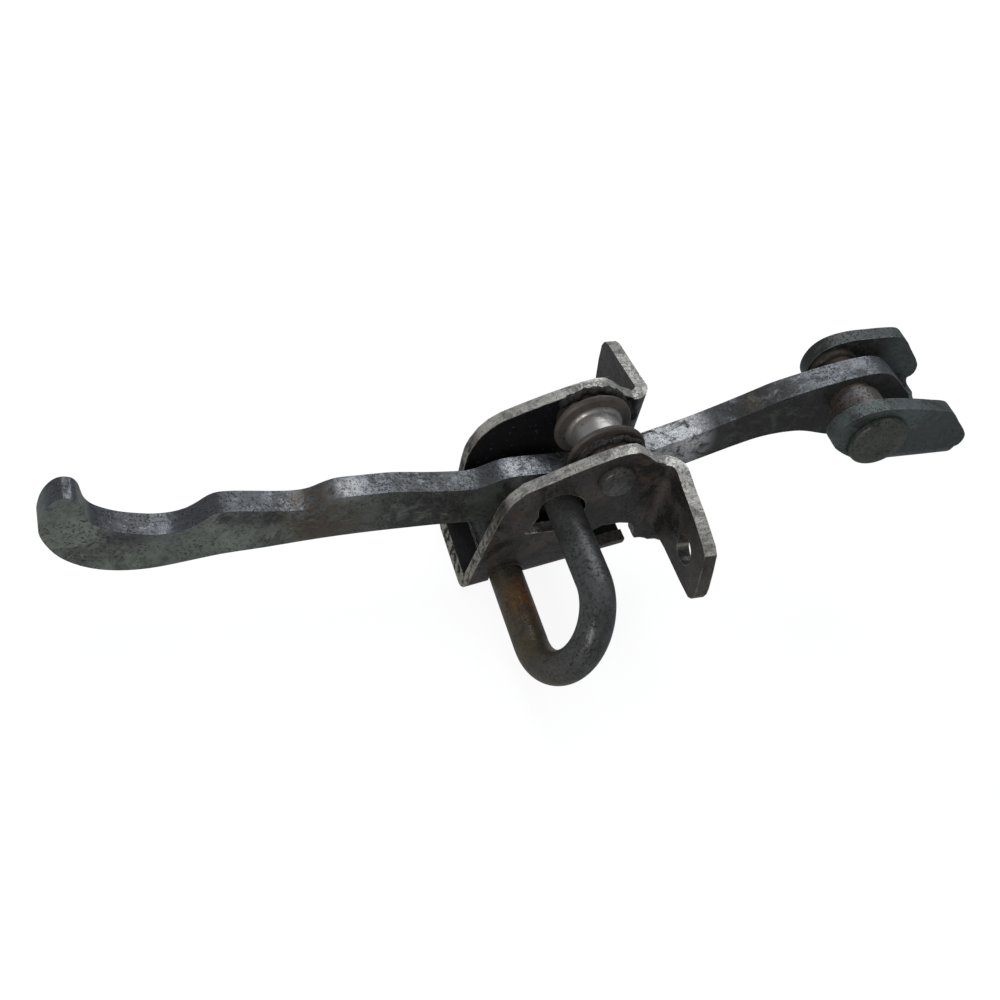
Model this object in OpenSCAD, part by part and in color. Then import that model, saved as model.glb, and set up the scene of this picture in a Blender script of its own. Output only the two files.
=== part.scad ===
// Door check strap: wavy arm, roller housing, hairpin spring and pivoting clevis.
// Millimetres. +X runs along the arm from hook to clevis, -Y is the rivet-head side, +Z up.
// Origin: middle of the two mounting holes, on the ears' door-side face.

/* [Check arm] */
// thickness of the flat arm
arm_t = 6; // [4:0.5:8]
// outer radius of the pressed eye bush
eye_bush_r = 5.2; // [4.8:0.1:5.6]

/* [Housing bracket] */
// sheet thickness of the housing
sheet_t = 3; // [2:0.5:4]
// half of the inner channel width
channel_half = 9; // [8.5:0.1:12]
// radius of the threaded ear holes
ear_hole_r = 3.4; // [2.5:0.1:4.5]
// distance of the near ear hole from the arm's middle plane
near_hole_y = 27; // [25:0.1:28]
// distance of the far ear hole from the arm's middle plane
far_hole_y = 24; // [23:0.1:27]

/* [Roller] */
// running drum radius
drum_r = 6; // [5:0.1:6.2]
// flange radius
flange_r = 9.3; // [8:0.1:10]
// half width between the flanges
drum_half = 3.4; // [3.2:0.1:4]
// rivet shank radius
axle_r = 3; // [2.5:0.1:4]
// rivet head radius
rivet_head_r = 4.3; // [4:0.1:6]

/* [Hairpin spring] */
// rod radius
rod_r = 4; // [3:0.1:4.2]
// where the straight legs end and the bend starts
bend_y = 31.8; // [25:0.1:40]

/* [Clevis] */
// sheet thickness of the clevis
clevis_t = 3.5; // [2.5:0.5:4]
// half of the inner clevis width
clevis_half = 10.2; // [9:0.1:13]
// how far the clevis sits towards the rivet-head side
clevis_shift = 2.5; // [0:0.1:3]
// pivot pin radius
pin_r = 4; // [3.5:0.1:4.4]
// pivot pin head radius
pin_head_r = 7.2; // [6:0.1:8]
// spacer radius against the clevis ears
spacer_r = 6; // [5.4:0.1:6.8]
// spacer radius against the arm
spacer_neck_r = 5.2; // [5:0.1:6]

/* [Hidden] */
$fn = 96;
run_gap = 0.05;
face_gap = 0.15;
step = 0.02;
fit = 0.03;
plate_x = 38.5;
pattern_y = (far_hole_y - near_hole_y) / 2;
hole_z = 1.8;
channel_out = channel_half + sheet_t;
clevis_out = clevis_half + clevis_t;
near_in = -clevis_half - clevis_shift;
near_out = -clevis_out - clevis_shift;
far_in = clevis_half - clevis_shift;
far_out = clevis_out - clevis_shift;
axle = [22.2, 10.9];
low_leg = [2.1, -20.5];
high_leg = [11.8, 1.8];
pin = [82.9, 21];
leg_span = norm(high_leg - low_leg);
leg_angle = atan2(high_leg[1] - low_leg[1], high_leg[0] - low_leg[0]);
web_angle = 14.7;
web_corner = [-8, -25.5];
bend_in = 2;
bend_out = bend_in + sheet_t;
ear_x = plate_x - sheet_t;

arm_top = [
    [-99.9, 2], [-99.4, 5.2], [-98.6, 7.6], [-97.2, 9.9], [-95.6, 11.3], [-94, 11.6],
    [-92.4, 11], [-91.4, 9.4], [-91, 7.4], [-90.5, 5], [-89.3, 2.9], [-87, 1],
    [-84, -0.6], [-80, -1.9], [-76.5, -2.6], [-73, -2.6], [-70, -1.8], [-67.5, -0.2],
    [-65.6, 1.4], [-63.7, 2.3], [-61.5, 2.4], [-56, 1.7], [-51, 0.9], [-46.5, 0.5],
    [-43.5, 0.9], [-40.5, 2.3], [-38, 3.2], [-35.5, 3.4], [-31, 3.4], [-26, 3.4],
    [-23.5, 3.2], [-17, 2.3], [-10, 1.6], [-7.5, 1.5], [-5, 2], [-1.5, 3.6],
    [0.8, 4.3], [3, 4.55], [8, 4.6], [12.5, 4.6], [16, 4.5], [19, 4.35], [22.2, 4.3],
    [25, 4.6], [27.5, 5.5], [30.5, 7], [34, 8.6], [38, 10.1], [44, 12.4], [50, 15.1],
    [55, 17.5], [60, 20], [64, 22], [69, 23.8], [74, 25.4], [80, 27.1], [85, 28.1],
    [88, 28.3], [91, 27.6], [94.2, 25.3], [97.2, 22.4], [99.8, 19.6]];
arm_bottom = [
    [100.6, 16.6], [99.8, 13.9], [97, 11.6], [92, 9.6], [87, 8.6], [83, 8.5],
    [79.4, 9.3], [76, 10.3], [73, 10.9], [70, 11], [66, 10.7], [62, 9.9], [57, 8.1],
    [52, 6], [45, 3], [38, 0], [30, -3.5], [22, -6.6], [14, -9], [8, -10.1],
    [2, -10.3], [-6, -9.9], [-13, -9.5], [-21, -9.4], [-30, -9.4], [-41, -9.8],
    [-54, -10.9], [-63, -11.5], [-70, -12.6], [-76, -13.5], [-80, -13.7],
    [-84.5, -13.3], [-88.6, -12.2], [-92.5, -10.2], [-96.3, -6.8], [-98.9, -2.1]];
far_wall_edge = [
    [-8, -28], [-8, -25.5], [-5.6, -12], [-5.1, -8.6], [-5.1, -4], [-4.9, -0.6], [-4.2, 2.2],
    [-2.6, 5.7], [-0.6, 8.2], [1.9, 10.1], [6.2, 12.2], [11.3, 14.5], [16.8, 16.7],
    [21, 18.2], [23.6, 18.8], [26, 18.8], [28, 17.6], [30.6, 15.4], [33.5, 14.2],
    [33.5, -11.4], [32.4, -11.4], [31.7, -10.4], [31.2, -7.6], [30, -5.6], [27, -5],
    [22.8, -5.2], [20.8, -6.6], [20.2, -9.5], [20, -13], [20, -40], [-8, -40]];
wall_edge = [
    [-8, -28], [-8, -25.5], [-5.6, -12], [-3.6, -1], [-2.8, 2.6], [-1.3, 5.8], [1.4, 9],
    [6.2, 11.3], [11.3, 14], [16.8, 16.5], [21, 18.2], [23.6, 18.8], [26, 18.8],
    [28, 17.6], [30.6, 15.4], [33.5, 14.2], [33.5, -11.4], [32.4, -11.4],
    [31.7, -10.4], [31.2, -7.6], [30, -5.6], [27, -5], [22.8, -5.2], [20.8, -6.6],
    [20.2, -9.5], [20, -13], [20, -40], [-8, -40]];
ear_near = [
    [8, 13.8], [13, 13.8], [15, 13.4], [18, 12.7], [26, 11.3], [32.6, 9.6], [34.4, 8.4],
    [35.6, 4], [36.6, -0.5], [36.7, -2.6], [36.1, -4.4], [34.9, -5.4], [30, -5.7],
    [20, -5.8], [17.6, -6.1], [15.4, -8.2], [13.2, -11], [12.2, -11.42], [8, -11.42]];
ear_far = [
    [8, 13.8], [13, 13.8], [15, 13.4], [18, 12.9], [25, 11.9], [31, 11], [33, 10],
    [33.8, 8.2], [33.3, 4], [32, -1], [31.2, -3.4], [30, -5.2], [28.2, -5.7],
    [20, -5.8], [17.6, -6.1], [15.4, -8.2], [13.2, -11], [12.2, -11.42], [8, -11.42]];
clevis_near = [
    [71.2, 22], [71.8, 25], [73.8, 27.5], [76.8, 29.1], [80.4, 30], [84.7, 30],
    [91.2, 29.3], [96.2, 28.4], [99.8, 27.7], [101, 27.1], [104.2, 23.8], [108, 19.6],
    [108.6, 18.4], [108.6, 16.4], [108, 15.4], [107.2, 14.9], [107.2, 6],
    [88, 6], [88, 10.6], [84.5, 12.2], [81.2, 13.7], [78.2, 15.2], [74.8, 17.3],
    [72.2, 19.6]];
clevis_far = [
    [76.6, 20.4], [76.9, 23], [78.2, 25.6], [80.9, 27.6], [85.8, 28.9], [91, 29.2],
    [96, 29.3], [99.3, 29], [100.8, 28.1], [104, 24.5], [107.8, 20], [108.5, 18.6],
    [108.6, 16.4], [108, 15.4], [107.2, 14.9], [107.2, 6],
    [90, 6], [90, 10.6], [86.4, 12.2], [83.2, 13.3], [80.6, 14.4], [78.4, 15.9],
    [77.1, 18]];

function heading(a, b) = (b - a) / norm(b - a);
function tangent(a, b, c) = let (s = heading(a, b) + heading(b, c)) s / max(norm(s), 0.01);
function blend(b, c, tb, tc, t) = let (l = norm(c - b))
    (2 * t * t * t - 3 * t * t + 1) * b + (t * t * t - 2 * t * t + t) * l * tb
    + (3 * t * t - 2 * t * t * t) * c + (t * t * t - t * t) * l * tc;
function smooth(p, n) = [
    for (i = [0:len(p) - 1])
        let (m = len(p), a = p[(i + m - 1) % m], b = p[i], c = p[(i + 1) % m], d = p[(i + 2) % m])
        for (k = [0:n - 1]) blend(b, c, tangent(a, b, c), tangent(b, c, d), k / n)];
function joined(a, b) = [for (i = [0:len(a) + len(b) - 1]) i < len(a) ? a[i] : b[i - len(a)]];

module in_frame() {
    translate([-plate_x, -pattern_y, -hole_z]) children();
}

// A prism of an XZ outline, between two Y values.
module slab(y0, y1) {
    translate([0, y1, 0]) rotate([90, 0, 0]) linear_extrude(height = y1 - y0) children();
}

// A ring about the Y axis through [x, z].
module ring(at, r_out, r_in, y0, y1, edge) {
    translate([at[0], y1, at[1]]) rotate([90, 0, 0]) rotate_extrude()
        polygon([[r_in, 0], [r_out - edge, 0], [r_out, edge], [r_out, y1 - y0 - edge],
            [r_out - edge, y1 - y0], [r_in, y1 - y0]]);
}

// A solid bar about the Y axis through [x, z].
module bar(at, r, y0, y1) {
    translate([at[0], y1, at[1]]) rotate([90, 0, 0]) cylinder(r = r, h = y1 - y0);
}

module check_arm() {
    color([0.42, 0.45, 0.47]) in_frame() difference() {
        slab(-arm_t / 2, arm_t / 2) polygon(smooth(joined(arm_top, arm_bottom), 3));
        bar(pin, eye_bush_r, -arm_t, arm_t);
    }
}

module eye_bush() {
    color([0.5, 0.42, 0.28]) in_frame()
        ring(pin, eye_bush_r, pin_r + run_gap, -arm_t / 2, arm_t / 2, 0.3);
}

// Channel section: two walls and a web with rounded outer corners.
module channel_section(half_out, t, r_out, h) {
    difference() {
        union() {
            translate([-half_out, r_out]) square([2 * half_out, h]);
            translate([r_out - half_out, 0]) square([2 * (half_out - r_out), h]);
            for (s = [-1, 1]) translate([s * (half_out - r_out), r_out]) circle(r = r_out);
        }
        translate([t - half_out, r_out]) square([2 * (half_out - t), h + r_out]);
        translate([r_out - half_out, t]) square([2 * (half_out - r_out), h + r_out]);
        for (s = [-1, 1]) translate([s * (half_out - r_out), r_out]) circle(r = r_out - t);
    }
}

module channel() {
    translate([web_corner[0], 0, web_corner[1]]) rotate([0, -web_angle, 0])
        translate([-15, 0, 0]) rotate([90, 0, 90]) linear_extrude(height = 70)
            channel_section(channel_out, sheet_t, sheet_t + 1, 60);
}

module wall_window() {
    slab(-channel_out - 1, -channel_half + 1) {
        translate(high_leg) circle(r = rod_r + 0.9);
        translate(high_leg + [-1.4, 0.7]) circle(r = rod_r + 0.9);
        polygon([[3.7, -5.2], [7, 3.4], [12, 2], [15.6, -1.2], [12.9, -5.2]]);
    }
}

// Outward ear: a quarter bend and a flat plate, drawn for the +Y side.
module ear(edge, ear_hole_y) {
    difference() {
        intersection() {
            translate([0, 0, -20]) linear_extrude(height = 50) {
                intersection() {
                    translate([plate_x - bend_out, channel_out + bend_in]) difference() {
                        circle(r = bend_out + step);
                        circle(r = bend_in - step);
                    }
                    translate([plate_x - bend_out, channel_half - 1])
                        square([bend_out + 1, bend_out + 1]);
                }
                translate([ear_x - step, channel_out + bend_in])
                    square([sheet_t + 2 * step, 40]);
                translate([plate_x - bend_out - 1, channel_half - step])
                    square([1, sheet_t + 2 * step]);
            }
            translate([30, 0, 0]) rotate([90, 0, 90]) linear_extrude(height = 12)
                polygon(edge);
        }
        translate([0, ear_hole_y, hole_z]) rotate([0, 90, 0]) cylinder(r = ear_hole_r, h = 60);
    }
}

module housing_bracket() {
    color([0.3, 0.3, 0.3]) in_frame() {
        difference() {
            intersection() {
                channel();
                union() {
                    slab(-20, 0) polygon(wall_edge);
                    slab(0, 20) polygon(far_wall_edge);
                    slab(-20, 20) polygon([[19, -40], [19, -14.1], [30, -11.3], [30, -40]]);
                }
            }
            bar(axle, axle_r + fit, -20, 20);
            bar(low_leg, rod_r + 0.4, -20, 20);
            wall_window();
            translate([23.8, -4.5, -40]) cube([10, 9, 32]);
        }
        ear(ear_far, far_hole_y);
        mirror([0, 1, 0]) ear(ear_near, near_hole_y);
    }
}

module roller() {
    half = 6.4;
    color([0.45, 0.45, 0.46]) in_frame() translate([axle[0], half, axle[1]])
        rotate([90, 0, 0]) rotate_extrude() polygon([
            [4.4, 0], [6.8, 0], [7, 0.2], [7, half - 5.45], [8.9, half - 5.45],
            [flange_r, half - 5.05], [flange_r, half - 4.5], [8.8, half - 3.9],
            [drum_r + 0.5, half - drum_half - 0.2], [drum_r, half - drum_half + 0.4],
            [drum_r, half + drum_half - 0.4], [drum_r + 0.5, half + drum_half + 0.2],
            [8.8, half + 3.9], [flange_r, half + 4.5], [flange_r, half + 5.05],
            [8.9, half + 5.45], [7, half + 5.45], [7, 2 * half - 0.2], [6.8, 2 * half],
            [4.4, 2 * half]]);
}

module roller_bush() {
    color([0.6, 0.45, 0.25]) in_frame()
        ring(axle, 4.4, axle_r + run_gap, -6.4, 6.4, 0.2);
}

module roller_axle() {
    far_head = 1.8;
    color([0.4, 0.4, 0.4]) in_frame() translate([axle[0], 0, axle[1]]) rotate([90, 0, 0])
        rotate_extrude() polygon([
            [0, -channel_out - far_head], [rivet_head_r - 0.8, -channel_out - far_head],
            [rivet_head_r - 0.2, -channel_out - far_head + 0.4],
            [rivet_head_r, -channel_out - 0.8], [rivet_head_r, -channel_out],
            [axle_r, -channel_out], [axle_r, channel_out], [rivet_head_r, channel_out],
            [rivet_head_r, channel_out + 1.2], [rivet_head_r - 0.3, channel_out + 1.7],
            [rivet_head_r - 1, channel_out + 1.9], [0, channel_out + 1.9]]);
}

module thrust_washer_near() {
    color([0.5, 0.5, 0.5]) in_frame()
        ring(axle, 7.6, axle_r + 0.2, -channel_half, -6.4 - face_gap, 0.4);
}

module thrust_washer_far() {
    color([0.5, 0.5, 0.5]) in_frame()
        ring(axle, 7.6, axle_r + 0.2, 6.4 + face_gap, channel_half, 0.4);
}

module hairpin_spring() {
    color([0.33, 0.27, 0.22]) in_frame() {
        bar(low_leg, rod_r, -bend_y, channel_out + 2);
        bar(high_leg, rod_r, -bend_y, -8.6);
        translate([(low_leg[0] + high_leg[0]) / 2, -bend_y, (low_leg[1] + high_leg[1]) / 2])
            rotate([0, -leg_angle, 0]) mirror([0, 1, 0]) rotate_extrude(angle = 180)
                translate([leg_span / 2, 0]) circle(r = rod_r - 0.02, $fn = 64);
    }
}

module clevis_bracket() {
    color([0.36, 0.39, 0.4]) in_frame() difference() {
        intersection() {
            translate([60, -clevis_shift, 10.3]) rotate([90, 0, 90]) linear_extrude(height = 60)
                channel_section(clevis_out, clevis_t, clevis_t + 1.5, 40);
            union() {
                slab(-20, -clevis_shift) polygon(smooth(clevis_near, 3));
                slab(-clevis_shift, 20) polygon(smooth(clevis_far, 3));
            }
        }
        translate([60, near_in - step, 0]) cube([41.4, 2 * (clevis_half + step), 15.6]);
        translate([114.8, 1.5 - clevis_shift, 0]) cylinder(r = 9, h = 18);
        bar(pin, pin_r + fit, -20, 20);
    }
}

module pivot_pin() {
    color([0.36, 0.38, 0.39]) in_frame() translate([pin[0], 0, pin[1]]) rotate([90, 0, 0])
        rotate_extrude() polygon([
            [0, -far_out - 1.6], [pin_r + 0.4, -far_out - 1.6], [pin_r + 1.1, -far_out - 1.1],
            [pin_r + 1.2, -far_out], [pin_r, -far_out], [pin_r, -near_out],
            [pin_head_r, -near_out], [pin_head_r, 1.4 - near_out],
            [pin_head_r - 0.7, 2 - near_out], [4.6, 2.2 - near_out],
            [3.8, 1.9 - near_out], [0, 1.9 - near_out]]);
}

// Turned collar on the pin: a shoulder at the ear, stepped down towards the arm.
module stepped_collar(length, shoulder) {
    rotate_extrude() polygon([
        [pin_r, 0], [spacer_r, 0], [spacer_r, shoulder - 0.4], [spacer_r - 0.4, shoulder],
        [spacer_neck_r, shoulder], [spacer_neck_r, length - 0.2],
        [spacer_neck_r - 0.2, length], [pin_r, length]]);
}

module spacer_near() {
    color([0.4, 0.33, 0.28]) in_frame() translate([pin[0], near_in, pin[1]]) rotate([-90, 0, 0])
        stepped_collar(-near_in - arm_t / 2 - face_gap, 7.6);
}

module spacer_far() {
    color([0.4, 0.33, 0.28]) in_frame() translate([pin[0], far_in, pin[1]]) rotate([90, 0, 0])
        stepped_collar(far_in - arm_t / 2 - face_gap, 2);
}

check_arm();
eye_bush();
housing_bracket();
roller();
roller_bush();
roller_axle();
thrust_washer_near();
thrust_washer_far();
hairpin_spring();
clevis_bracket();
pivot_pin();
spacer_near();
spacer_far();
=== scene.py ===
import bpy
import math
import random

import bmesh
from mathutils import Matrix, Vector


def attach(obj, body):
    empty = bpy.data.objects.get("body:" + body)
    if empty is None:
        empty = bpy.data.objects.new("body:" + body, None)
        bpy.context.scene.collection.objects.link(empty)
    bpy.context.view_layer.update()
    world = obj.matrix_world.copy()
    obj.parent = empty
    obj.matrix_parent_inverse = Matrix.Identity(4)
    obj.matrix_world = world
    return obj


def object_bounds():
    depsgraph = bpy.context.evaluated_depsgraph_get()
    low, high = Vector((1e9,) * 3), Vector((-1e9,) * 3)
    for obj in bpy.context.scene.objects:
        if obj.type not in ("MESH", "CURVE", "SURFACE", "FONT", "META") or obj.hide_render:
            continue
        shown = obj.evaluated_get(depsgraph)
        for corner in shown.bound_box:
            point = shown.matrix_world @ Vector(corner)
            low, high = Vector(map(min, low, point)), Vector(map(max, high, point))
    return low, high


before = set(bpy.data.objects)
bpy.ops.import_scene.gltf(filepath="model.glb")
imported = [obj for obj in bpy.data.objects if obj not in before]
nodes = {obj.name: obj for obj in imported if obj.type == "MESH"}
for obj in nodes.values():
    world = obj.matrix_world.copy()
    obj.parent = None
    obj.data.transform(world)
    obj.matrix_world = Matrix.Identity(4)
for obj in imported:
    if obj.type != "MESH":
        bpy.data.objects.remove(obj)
cad_lo, cad_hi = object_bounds()

# ---------------------------------------------------------------- camera
LENS_MM = 47.18
SENSOR_MM = 36
CAMERA_PLACE = (-0.13246, -0.18272, 0.21511)
CAMERA_RIGHT = (0.94452, -0.27903, 0.17329)
CAMERA_BACK = (-0.31289, -0.60384, 0.73313)

scene = bpy.context.scene
cam_data = bpy.data.cameras.new("camera")
cam = bpy.data.objects.new("camera", cam_data)
scene.collection.objects.link(cam)
cam_data.sensor_width = SENSOR_MM
cam_data.lens = LENS_MM
cam_data.clip_start, cam_data.clip_end = 0.01, 20
right = Vector(CAMERA_RIGHT).normalized()
back = Vector(CAMERA_BACK).normalized()
up = back.cross(right).normalized()
right = up.cross(back).normalized()
turn = Matrix((right, up, back)).transposed().to_4x4()
cam.matrix_world = Matrix.Translation(CAMERA_PLACE) @ turn
scene.camera = cam


# ---------------------------------------------------------------- materials
# tones shared by the steels
WET_GREASE = (0.016, 0.015, 0.014)
SPECK = (0.012, 0.01, 0.009)
BRUSHED_DUST = (0.02, 0.018, 0.016)
RUST_LIGHT = (0.21, 0.085, 0.03)
RUST_DARK = (0.075, 0.035, 0.02)
# near-black tone for inside the housing's channel: black grease and painted shade
CHANNEL_GREASE_AND_SHADE = (0.012, 0.012, 0.015)
# pale specks painted as glints in the channel's dark
CHANNEL_PAINTED_GLINTS = (0.16, 0.16, 0.155)
BARE_END = (0.50, 0.47, 0.40)
OILY_DARK = (0.022, 0.018, 0.016)
OILY_BROWN = (0.075, 0.055, 0.043)
TURNED_DUST = (0.02, 0.016, 0.014)


class Nodes:
    """Short ways to add shader nodes to one material."""

    def __init__(self, name):
        self.mat = bpy.data.materials.new(name)
        self.mat.use_nodes = True
        self.tree = self.mat.node_tree
        self.tree.nodes.clear()
        self.out = self.add("ShaderNodeOutputMaterial")
        self.bsdf = self.add("ShaderNodeBsdfPrincipled")
        self.link(self.bsdf.outputs[0], self.out.inputs[0])
        self.coords = self.add("ShaderNodeTexCoord")

    def add(self, kind, **props):
        n = self.tree.nodes.new(kind)
        for k, v in props.items():
            setattr(n, k, v)
        return n

    def link(self, a, b):
        self.tree.links.new(a, b)

    def put(self, socket, value):
        if hasattr(value, "is_linked"):
            self.link(value, socket)
        else:
            socket.default_value = value

    def place(self, scale=(1, 1, 1), shift=(0, 0, 0)):
        m = self.add("ShaderNodeMapping")
        m.inputs["Scale"].default_value = scale
        m.inputs["Location"].default_value = shift
        self.link(self.coords.outputs["Object"], m.inputs["Vector"])
        return m.outputs[0]

    def noise(self, scale, detail=4, rough=0.55, stretch=(1, 1, 1), shift=(0, 0, 0), bend=0):
        n = self.add("ShaderNodeTexNoise")
        n.inputs["Scale"].default_value = scale
        n.inputs["Detail"].default_value = detail
        n.inputs["Roughness"].default_value = rough
        n.inputs["Distortion"].default_value = bend
        self.link(self.place(stretch, shift), n.inputs["Vector"])
        return n.outputs["Fac"]

    def ramp(self, value, low, high):
        n = self.add("ShaderNodeMapRange", interpolation_type="SMOOTHSTEP")
        n.inputs["From Min"].default_value = low
        n.inputs["From Max"].default_value = high
        self.link(value, n.inputs["Value"])
        return n.outputs["Result"]

    def math(self, op, a, b=0.0, clamp=False):
        n = self.add("ShaderNodeMath", operation=op, use_clamp=clamp)
        self.put(n.inputs[0], a)
        self.put(n.inputs[1], b)
        return n.outputs[0]

    def mix(self, fac, a, b):
        n = self.add("ShaderNodeMix", data_type="RGBA")
        self.put(n.inputs["Factor"], fac)
        for socket, v in ((n.inputs["A"], a), (n.inputs["B"], b)):
            self.put(socket, v if hasattr(v, "is_linked") else (*v, 1))
        return n.outputs["Result"]

    def mixf(self, fac, a, b):
        n = self.add("ShaderNodeMix", data_type="FLOAT")
        self.put(n.inputs["Factor"], fac)
        self.put(n.inputs["A"], a)
        self.put(n.inputs["B"], b)
        return n.outputs["Result"]

    def axis(self, output, which):
        n = self.add("ShaderNodeSeparateXYZ")
        self.link(self.coords.outputs[output], n.inputs[0])
        return n.outputs[which]

    def near(self, centre, full, none):
        """1 within full metres of a place in the row's frame, 0 beyond none."""
        d = self.add("ShaderNodeVectorMath", operation="DISTANCE")
        self.link(self.coords.outputs["Object"], d.inputs[0])
        d.inputs[1].default_value = centre
        return self.ramp(d.outputs["Value"], none, full)

    def off_axis(self, x, z):
        """Distance from a line along Y."""
        across = self.math("SUBTRACT", self.axis("Object", "X"), x)
        height = self.math("SUBTRACT", self.axis("Object", "Z"), z)
        square = self.math("ADD", self.math("MULTIPLY", across, across),
                           self.math("MULTIPLY", height, height))
        return self.math("SQRT", square)

    def edges(self, radius, low, high):
        """1 along convex and concave edges, 0 on open faces."""
        b = self.add("ShaderNodeBevel", samples=4)
        b.inputs["Radius"].default_value = radius
        g = self.add("ShaderNodeNewGeometry")
        d = self.add("ShaderNodeVectorMath", operation="DOT_PRODUCT")
        self.link(b.outputs[0], d.inputs[0])
        self.link(g.outputs["Normal"], d.inputs[1])
        return self.ramp(self.math("SUBTRACT", 1.0, d.outputs["Value"]), low, high)

    def bump(self, *layers):
        """Layers of (height value, depth in metres)."""
        normal = None
        for height, depth in layers:
            n = self.add("ShaderNodeBump")
            n.inputs["Distance"].default_value = depth
            n.inputs["Strength"].default_value = 1.0
            self.link(height, n.inputs["Height"])
            if normal is not None:
                self.link(normal, n.inputs["Normal"])
            normal = n.outputs[0]
        self.link(normal, self.bsdf.inputs["Normal"])


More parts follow.
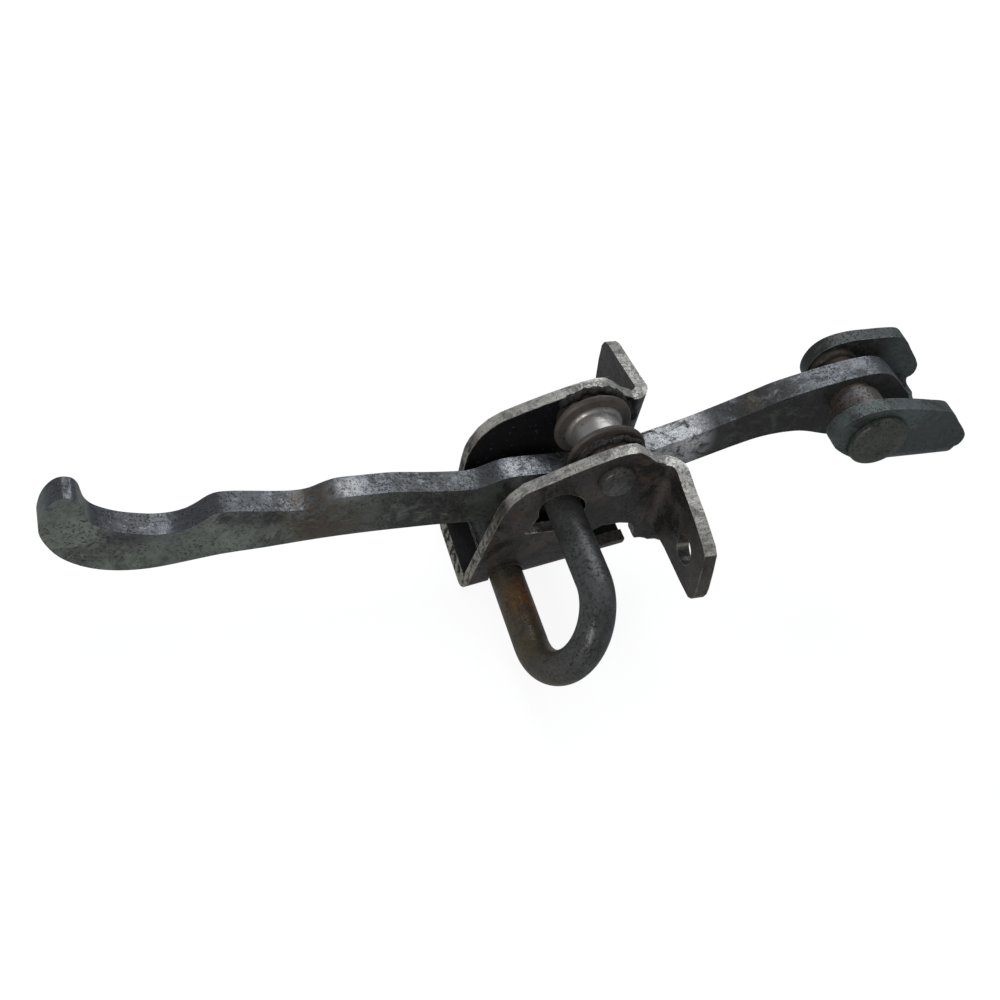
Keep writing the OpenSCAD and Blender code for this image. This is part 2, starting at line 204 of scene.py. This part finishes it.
def worn_steel(name, tone, tone2, shine, grease=0.4, rust=0.0, polish=None, dirt=0.35,
               metal=0.75, rough=0.42, seed=0.0, fade=None, edge=0.5, inside=None,
               patches=(), sheen=0.95, ends=0.0, above=None, blotch=0.5):
    """Handled steel: mottled plating, pits, wet grease, rust, and bright worn edges.

    polish is a burnished direction in the piece's own normals, such as ("Z", 0.8).
    fade is (x start, x end, darkness): the steel darkens along X.
    inside is a half width: whatever lies nearer the middle plane is painted near-black, partly as
    black grease and partly as painted shade in the channel.
    patches are (place, full, none, colour, other colour, metallic): local stains or rubs, and also
    painted highlights, painted sheen and painted shade.
    A patch that is not metallic is dull, and any other is glossy.
    sheen is how metallic the burnished zone is, which lies above the height above.
    ends is how pale the sheet's ends are on the hook's side of the housing.
    blotch is how strongly dirt marks the burnished zone.
    """
    m = Nodes(name)
    cloud = m.ramp(m.noise(70, 5, 0.6, shift=(seed, 0, 0), bend=0.6), 0.38, 0.64)
    fine = m.noise(900, 3, 0.6, shift=(0, seed, 0))
    grain = m.noise(2600, 2, 0.5)
    colour = m.mix(cloud, tone, tone2)
    colour = m.mix(m.math("MULTIPLY", m.ramp(fine, 0.42, 0.66), 0.45),
                   colour, tuple(0.45 * c for c in tone))
    # small pits and specks of dirt
    specks = m.ramp(m.noise(1500, 4, 0.8, shift=(seed, seed, 0)), 0.545, 0.63)
    zone = m.ramp(m.noise(120, 3, 0.6, shift=(0, 0, seed)), 0.34, 0.56)
    specks = m.math("MULTIPLY", specks, zone)
    # wet grease in blotches, with darker streaks along the part
    blot = m.noise(95, 6, 0.68, shift=(seed + 3, 1, 2), bend=1.2)
    wet = m.ramp(blot, 0.62 - 0.22 * grease, 0.70 - 0.16 * grease)
    # the steel darkens along X, from fade's start to its end
    if fade:
        along = m.add("ShaderNodeMapRange")
        along.inputs["From Min"].default_value = fade[0]
        along.inputs["From Max"].default_value = fade[1]
        m.link(m.axis("Object", "X"), along.inputs["Value"])
        faded = m.math("MULTIPLY", along.outputs["Result"], fade[2])
        colour = m.mix(faded, colour, tuple(0.12 * c for c in tone))
    colour = m.mix(m.math("MULTIPLY", wet, 0.35 + 0.5 * dirt), colour, WET_GREASE)
    colour = m.mix(m.math("MULTIPLY", specks, 0.8), colour, SPECK)
    roughness = m.mixf(fine, rough - 0.08, rough + 0.12)
    roughness = m.mixf(wet, roughness, 0.24)
    metallic = m.mixf(wet, metal, 0.15)
    if polish:
        facing = m.ramp(m.axis("Normal", polish[0]), polish[1] - 0.15, polish[1] + 0.1)
        if above is not None:
            higher = m.ramp(m.axis("Object", "Z"), above - 0.001, above + 0.001)
            facing = m.math("MULTIPLY", facing, higher)
        streak = m.noise(420, 4, 0.7, stretch=(0.25, 4, 1), shift=(seed, 0, 0))
        blots = m.ramp(m.noise(260, 5, 0.7, shift=(0, seed, 1), bend=0.8), 0.50, 0.60)
        dust = m.ramp(m.noise(1900, 2, 0.6, shift=(seed, 2, 0)), 0.60, 0.66)
        worn = m.mix(m.ramp(streak, 0.35, 0.7), shine, tuple(0.62 * c for c in shine))
        worn = m.mix(m.math("MULTIPLY", blots, blotch), worn, tuple(0.25 * c for c in shine))
        worn = m.mix(m.math("MULTIPLY", dust, 0.75), worn, BRUSHED_DUST)
        colour = m.mix(facing, colour, worn)
        roughness = m.mixf(facing, roughness, m.mixf(blots, 0.3, 0.5))
        metallic = m.mixf(facing, metallic, m.mixf(blots, sheen, 0.5 * sheen))
    if rust:
        spread = m.noise(150, 6, 0.7, shift=(seed, 5, seed), bend=0.5)
        rusty = m.ramp(spread, 0.66 - 0.22 * rust, 0.78 - 0.16 * rust)
        ruddy = m.mix(fine, RUST_LIGHT, RUST_DARK)
        colour = m.mix(m.math("MULTIPLY", rusty, 0.85), colour, ruddy)
        roughness = m.mixf(rusty, roughness, 0.8)
        metallic = m.mixf(rusty, metallic, 0.05)
    # each patch is a real stain or rub, or a painted highlight, sheen or shade
    for k, (place, full, none, first, second, shiny) in enumerate(patches):
        ragged = m.ramp(m.noise(330, 5, 0.7, shift=(seed, k, 4), bend=0.6), 0.34, 0.54)
        spot = m.math("MULTIPLY", m.near(place, full, none), ragged)
        colour = m.mix(m.math("MULTIPLY", spot, 0.88), colour, m.mix(fine, first, second))
        roughness = m.mixf(spot, roughness, 0.3 if shiny else 0.6)
        metallic = m.mixf(spot, metallic, shiny)
    # inside the channel between the walls: near-black grease and painted shade over everything
    # nearer the middle plane
    if inside:
        off = m.math("ABSOLUTE", m.math("SUBTRACT", m.axis("Object", "Y"), MIDDLE_Y))
        deep = m.ramp(off, inside + 0.0001, inside - 0.0001)
        deep = m.math("MULTIPLY", deep, 0.93)
        colour = m.mix(deep, colour, CHANNEL_GREASE_AND_SHADE)
        # sparse pale specks in the channel: painted glints
        glint_specks = m.ramp(m.noise(1100, 3, 0.65, shift=(seed, 8, 0)), 0.66, 0.72)
        colour = m.mix(m.math("MULTIPLY", deep, glint_specks), colour, CHANNEL_PAINTED_GLINTS)
        roughness = m.mixf(deep, roughness, 0.62)
        metallic = m.mixf(deep, metallic, 0.0)
        m.link(m.mixf(deep, 0.5, 0.12), m.bsdf.inputs["Specular IOR Level"])
    if ends:
        across = m.ramp(m.axis("Normal", "X"), -0.55, -0.8)
        flakes = m.ramp(m.noise(520, 4, 0.7, shift=(seed, 6, 2), bend=0.4), 0.44, 0.56)
        low_end = m.ramp(m.axis("Object", "X"), HOOK_SIDE + 0.004, HOOK_SIDE)
        across = m.math("MULTIPLY", m.math("MULTIPLY", across, flakes), ends)
        across = m.math("MULTIPLY", across, low_end)
        colour = m.mix(across, colour, BARE_END)
        metallic = m.mixf(across, metallic, 0.1)
    if edge:
        rim = m.edges(0.0005, 0.02, 0.22)
        broken = m.ramp(m.noise(300, 3, 0.6, shift=(1, seed, 0)), 0.35, 0.6)
        rim = m.math("MULTIPLY", rim, broken)
        rim = m.math("MULTIPLY", rim, edge)
        colour = m.mix(rim, colour, shine)
        roughness = m.mixf(rim, roughness, 0.3)
        metallic = m.mixf(rim, metallic, 0.95)
    m.link(colour, m.bsdf.inputs["Base Color"])
    m.link(roughness, m.bsdf.inputs["Roughness"])
    m.link(metallic, m.bsdf.inputs["Metallic"])
    m.bsdf.inputs["Coat Weight"].default_value = 0.25 * grease
    m.bsdf.inputs["Coat Roughness"].default_value = 0.22
    m.bump((m.noise(160, 4, 0.6, shift=(seed, 1, 0)), 0.00035),
           (blot, 0.0003 * grease), (fine, 0.00006), (specks, -0.0001), (grain, 0.00001))
    return m.mat


def turned_steel(name, tone, grease=0.4, seed=0.0, drum=None):
    """Lathe-turned steel with rings round its own Y axis, part polished, part oily.

    drum is (x, z, radius): beyond that radius from the axis the steel is greasy brown.
    """
    m = Nodes(name)
    rings = m.noise(60, 3, 0.7, stretch=(0.4, 60, 0.4), shift=(0, seed, 0))
    blot = m.noise(150, 5, 0.7, shift=(seed, 2, 1), bend=0.8)
    wet = m.ramp(blot, 0.60 - 0.2 * grease, 0.72 - 0.2 * grease)
    fine = m.noise(1200, 3, 0.6, shift=(0, 0, seed))
    colour = m.mix(rings, tone, tuple(0.6 * c for c in tone))
    if drum:
        beyond = m.ramp(m.off_axis(drum[0], drum[1]), drum[2] + 0.0002, drum[2] + 0.0008)
        wet = m.math("MAXIMUM", m.math("MULTIPLY", beyond, 0.92), m.math("MULTIPLY", wet, 0.55))
    colour = m.mix(m.math("MULTIPLY", wet, 0.9), colour,
                   m.mix(m.ramp(blot, 0.4, 0.6), OILY_DARK, OILY_BROWN))
    colour = m.mix(m.math("MULTIPLY", m.ramp(fine, 0.62, 0.7), 0.7), colour, TURNED_DUST)
    m.link(colour, m.bsdf.inputs["Base Color"])
    m.link(m.mixf(wet, m.mixf(rings, 0.3, 0.42), 0.5), m.bsdf.inputs["Roughness"])
    m.link(m.mixf(wet, 0.75, 0.2), m.bsdf.inputs["Metallic"])
    m.link(m.mixf(wet, 0.5, 0.12), m.bsdf.inputs["Specular IOR Level"])
    m.bsdf.inputs["Coat Weight"].default_value = 0.03
    m.bsdf.inputs["Coat Roughness"].default_value = 0.2
    m.bump((rings, 0.00004), (blot, 0.00015 * grease), (fine, 0.00003))
    return m.mat


# places and sizes in the row's frame, metres
ROLLER_AXIS = (-0.0163, 0.0091)
DRUM_RADIUS = 0.0063
CHANNEL_HALF = 0.0091
HOOK_SIDE = -0.0445
RUST_PLACE = (-0.0335, -0.0195, -0.0185)
MIDDLE_Y = 0.0015

BLACK = (0.010, 0.009, 0.008)
SOOT = (0.03, 0.026, 0.023)
ORANGE = (0.36, 0.15, 0.045)
RUST = (0.15, 0.08, 0.04)
UMBER = (0.15, 0.105, 0.06)
OLIVE = (0.10, 0.095, 0.055)
# painted highlight: a near-white glint for the arm's top edge by the housing
PAINTED_GLINT = (0.95, 0.95, 0.97)
# painted sheen for crests of the arm's top edge
PAINTED_CREST_SHEEN = (0.42, 0.42, 0.43)
# painted shade for valleys of the arm's top edge near the hook
PAINTED_VALLEY_SHADE = (0.10, 0.105, 0.12)
ARM_STAINS_AND_PAINTED_LIGHT = (
    ((-0.0907, -0.0015, -0.0029), 0.0012, 0.0045, BLACK, SOOT, 0.1),
    ((-0.1010, -0.0015, -0.0010), 0.0008, 0.0030, BLACK, SOOT, 0.1),
    ((-0.0800, -0.0015, -0.0050), 0.0030, 0.0140, SOOT, UMBER, 0.1),
    ((-0.0560, -0.0015, -0.0060), 0.0040, 0.0180, BLACK, SOOT, 0.1),
    ((0.0010, -0.0015, 0.0020), 0.0060, 0.0200, BLACK, SOOT, 0.2),
    ((0.0240, -0.0015, 0.0120), 0.0080, 0.0180, SOOT, BLACK, 0),
    ((0.0460, -0.0015, 0.0115), 0.0090, 0.0180, BLACK, SOOT, 0),
    ((0.0190, 0.0015, 0.0195), 0.0012, 0.0050, BLACK, UMBER, 0.3),
    # painted highlight: a near-white glint on the top edge by the housing, which also shows on the
    # arm's far side
    ((0.0005, 0.0015, 0.0075), 0.0060, 0.0130, PAINTED_GLINT, PAINTED_GLINT, 0.25),
    # painted shade in two valleys of the top edge near the hook
    ((-0.1202, 0.0020, -0.0037), 0.0030, 0.0080, PAINTED_VALLEY_SHADE, SOOT, 0.3),
    ((-0.0972, 0.0023, -0.0006), 0.0030, 0.0080, PAINTED_VALLEY_SHADE, SOOT, 0.4),
    # painted sheen on two crests of the top edge
    ((-0.0342, 0.0016, 0.0027), 0.0020, 0.0060, PAINTED_CREST_SHEEN, PAINTED_CREST_SHEEN, 0.6),
    ((-0.0748, 0.0015, 0.0038), 0.0020, 0.0070, PAINTED_CREST_SHEEN, PAINTED_CREST_SHEEN, 0.6))
CLEVIS_STAINS = (
    ((0.0480, 0.0092, 0.0240), 0.0070, 0.0140, BLACK, SOOT, 0.1),
    ((0.0360, 0.0110, 0.0200), 0.0020, 0.0060, BLACK, SOOT, 0.1),
    ((0.0660, -0.0100, 0.0125), 0.0030, 0.0080, SOOT, BLACK, 0.1))
SPRING_STAINS = (
    ((-0.0400, -0.0235, -0.0200), 0.0080, 0.0180, UMBER, OLIVE, 0.2),
    ((-0.0300, -0.0385, -0.0200), 0.0040, 0.0140, OLIVE, UMBER, 0.2),
    (RUST_PLACE, 0.0020, 0.0090, ORANGE, RUST, 0.05))
arm_steel = worn_steel("arm_steel", (0.30, 0.325, 0.285), (0.20, 0.22, 0.198),
                       (0.19, 0.197, 0.215), grease=0.42, polish=("Z", 0.55), seed=0.7,
                       fade=(-0.105, -0.02, 0.8), rough=0.56, metal=0.2, edge=0.6,
                       patches=ARM_STAINS_AND_PAINTED_LIGHT)
housing_steel = worn_steel("housing_steel", (0.125, 0.105, 0.094), (0.055, 0.049, 0.046),
                           (0.72, 0.69, 0.64), grease=0.75, rust=0.34, seed=2.3, dirt=0.85,
                           rough=0.5, metal=0.25, edge=0.8, polish=("Z", 0.5),
                           inside=CHANNEL_HALF, sheen=0.3, ends=0.85, above=-0.002,
                           blotch=0.7)
clevis_steel = worn_steel("clevis_steel", (0.125, 0.15, 0.15), (0.072, 0.083, 0.08),
                          (0.42, 0.46, 0.48), grease=0.45, seed=4.1, rough=0.46,
                          metal=0.3, edge=0.5, patches=CLEVIS_STAINS)
pin_steel = worn_steel("pin_steel", (0.12, 0.125, 0.108), (0.08, 0.084, 0.072),
                       (0.50, 0.52, 0.50), grease=0.35, seed=5.2, rough=0.4,
                       metal=0.4, edge=0.9)
spring_steel = worn_steel("spring_steel", (0.135, 0.135, 0.135), (0.075, 0.074, 0.072),
                          (0.34, 0.31, 0.28), grease=0.4, rust=0.25, seed=1.35, dirt=0.3,
                          rough=0.36, metal=0.35, edge=0.0, patches=SPRING_STAINS)
spacer_steel = worn_steel("spacer_steel", (0.19, 0.185, 0.185), (0.14, 0.11, 0.095),
                          (0.45, 0.45, 0.45), grease=0.35, rust=0.5, seed=6.4, metal=0.4)
rivet_steel = worn_steel("rivet_steel", (0.21, 0.205, 0.20), (0.13, 0.125, 0.12),
                         (0.5, 0.49, 0.48), grease=0.5, seed=7.7, rough=0.36, metal=0.5,
                         edge=0.8)
roller_steel = turned_steel("roller_steel", (0.66, 0.63, 0.61), 0.4, 3.3,
                            (*ROLLER_AXIS, DRUM_RADIUS))
washer_steel = turned_steel("washer_steel", (0.2, 0.19, 0.185), 1.1, 8.3)
bush_bronze = turned_steel("bush_bronze", (0.20, 0.15, 0.09), 0.9, 9.1)

LOOKS = {
    "check_arm": arm_steel, "eye_bush": bush_bronze, "housing_bracket": housing_steel,
    "roller": roller_steel, "roller_bush": bush_bronze, "roller_axle": rivet_steel,
    "thrust_washer_near": washer_steel, "thrust_washer_far": washer_steel,
    "hairpin_spring": spring_steel, "clevis_bracket": clevis_steel,
    # spacer_far takes the darker, greasier washer steel rather than spacer steel, as painted shade:
    # it sits in the dark gap between the arm and the far ear
    "pivot_pin": pin_steel, "spacer_near": spacer_steel, "spacer_far": washer_steel}

# ---------------------------------------------------------------- CAD nodes: edges and looks
PLAIN_EDGE = 0.00015
WELD_DISTANCE = 2e-6
CREASE_DEGREES = 38
EDGE = {"check_arm": 0.00045, "housing_bracket": 0.0004, "clevis_bracket": 0.0006,
        "roller": 0.0002, "roller_axle": 0.0002, "pivot_pin": 0.0007, "hairpin_spring": 0.0005}
for name, obj in nodes.items():
    mesh = obj.data
    mesh.materials.clear()
    mesh.materials.append(LOOKS[name])
    if "custom_normal" in mesh.attributes:
        mesh.attributes.remove(mesh.attributes["custom_normal"])
    mesh.polygons.foreach_set("use_smooth", [True] * len(mesh.polygons))
    weld = obj.modifiers.new("weld", "WELD")
    weld.merge_threshold = WELD_DISTANCE
    bevel = obj.modifiers.new("edges", "BEVEL")
    bevel.width = EDGE.get(name, PLAIN_EDGE)
    bevel.segments = 2
    bevel.limit_method = "ANGLE"
    bevel.angle_limit = math.radians(CREASE_DEGREES)
    bevel.harden_normals = True
    bevel.use_clamp_overlap = True

# ---------------------------------------------------------------- old grease
GREASE_VOXEL = 0.00022
NEAR_WASHER_OFF = 0.0076
FAR_WASHER_OFF = 0.0078
CORNER_TOP = (-0.0105, MIDDLE_Y + 0.0086, 0.0150)
CORNER_LOW = (-0.0040, MIDDLE_Y + 0.0092, 0.0065)

grease_look = Nodes("old_grease")
clot = grease_look.noise(900, 4, 0.7, bend=0.5)
dust = grease_look.ramp(grease_look.noise(1500, 3, 0.7, shift=(3, 0, 0)), 0.6, 0.68)
grease_look.link(grease_look.mix(dust, (0.014, 0.012, 0.011), (0.12, 0.10, 0.085)),
                 grease_look.bsdf.inputs["Base Color"])
grease_look.bsdf.inputs["Roughness"].default_value = 0.5
grease_look.bump((clot, 0.0004))


def grease(name, path, size, seed):
    """Lumps of grease along a path, melted into one skin, stuck to the housing."""
    draw = random.Random(seed)
    mesh = bpy.data.meshes.new(name)
    lumps = bmesh.new()
    for place in path:
        jitter = [draw.uniform(-0.3, 0.3) * size for _ in range(3)]
        spot = Vector(place) + Vector(jitter)
        reach = size * draw.uniform(0.55, 1.0)
        bmesh.ops.create_icosphere(lumps, subdivisions=2, radius=reach,
                                   matrix=Matrix.Translation(spot))
    lumps.to_mesh(mesh)
    lumps.free()
    obj = bpy.data.objects.new(name, mesh)
    scene.collection.objects.link(obj)
    mesh.materials.append(grease_look.mat)
    melt = obj.modifiers.new("melt", "REMESH")
    melt.mode = "VOXEL"
    melt.voxel_size = GREASE_VOXEL
    melt.use_smooth_shade = True
    ease = obj.modifiers.new("ease", "SMOOTH")
    ease.iterations = 3
    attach(obj, "housing")
    return obj


def round_axle(y, reach, start, end, count):
    """Places round the roller's axle at one Y, between two angles in degrees from +X."""
    turns = [math.radians(start + (end - start) * k / (count - 1)) for k in range(count)]
    return [(ROLLER_AXIS[0] + reach * math.cos(t), y, ROLLER_AXIS[1] + reach * math.sin(t))
            for t in turns]


def between(a, b, count):
    """Places spaced evenly on a straight line."""
    return [tuple(Vector(a).lerp(Vector(b), k / (count - 1))) for k in range(count)]


grease("grease_near_washer",
       round_axle(MIDDLE_Y - NEAR_WASHER_OFF, 0.0080, 10, 200, 36), 0.00095, 3)
grease("grease_far_washer",
       round_axle(MIDDLE_Y + FAR_WASHER_OFF, 0.0082, -40, 150, 40), 0.0012, 5)
grease("grease_far_corner", between(CORNER_TOP, CORNER_LOW, 20), 0.0016, 8)

# ---------------------------------------------------------------- floor and light
FLOOR_HALF = 3.0
FLOOR_DROP = 0.0005
FLOOR_GREY = (0.25, 0.25, 0.25, 1)
FLOOR_GLOW = 0.9
SKY_TINT = (0.92, 0.96, 1.0, 1)
SKY_STRENGTH = 0.27

centre = (cad_lo + cad_hi) / 2
floor_mesh = bpy.data.meshes.new("floor")
corners = [(sx * FLOOR_HALF, sy * FLOOR_HALF, 0) for sx, sy in ((-1, -1), (1, -1), (1, 1), (-1, 1))]
floor_mesh.from_pydata(corners, [], [(0, 1, 2, 3)])
floor = bpy.data.objects.new("floor", floor_mesh)
floor.location = (centre.x, centre.y, cad_lo.z - FLOOR_DROP)
scene.collection.objects.link(floor)
pale = Nodes("floor_pale")
pale.bsdf.inputs["Base Color"].default_value = FLOOR_GREY
pale.bsdf.inputs["Roughness"].default_value = 0.9
pale.bsdf.inputs["Emission Color"].default_value = (1, 1, 1, 1)
pale.bsdf.inputs["Emission Strength"].default_value = FLOOR_GLOW
floor_mesh.materials.append(pale.mat)
floor.visible_diffuse = False
floor.visible_glossy = False

world = bpy.data.worlds.new("world")
scene.world = world
world.use_nodes = True
backdrop = world.node_tree.nodes["Background"]
backdrop.inputs["Color"].default_value = SKY_TINT
backdrop.inputs["Strength"].default_value = SKY_STRENGTH


def area(name, place, size, power, colour):
    """A round lamp at a place from the part's middle, turned to face it."""
    data = bpy.data.lights.new(name, "AREA")
    data.shape = "DISK"
    data.size = size
    data.energy = power
    data.color = colour
    lamp = bpy.data.objects.new(name, data)
    lamp.location = centre + Vector(place)
    lamp.rotation_mode = "QUATERNION"
    lamp.rotation_quaternion = (-Vector(place)).to_track_quat("-Z", "Y")
    scene.collection.objects.link(lamp)


area("sky", (0.25, 0.50, 0.62), 0.7, 2.1, (0.93, 0.97, 1.0))
area("front", (-0.55, -0.55, 0.35), 0.3, 1.5, (1.0, 0.98, 0.95))
scene.view_settings.view_transform = "Standard"
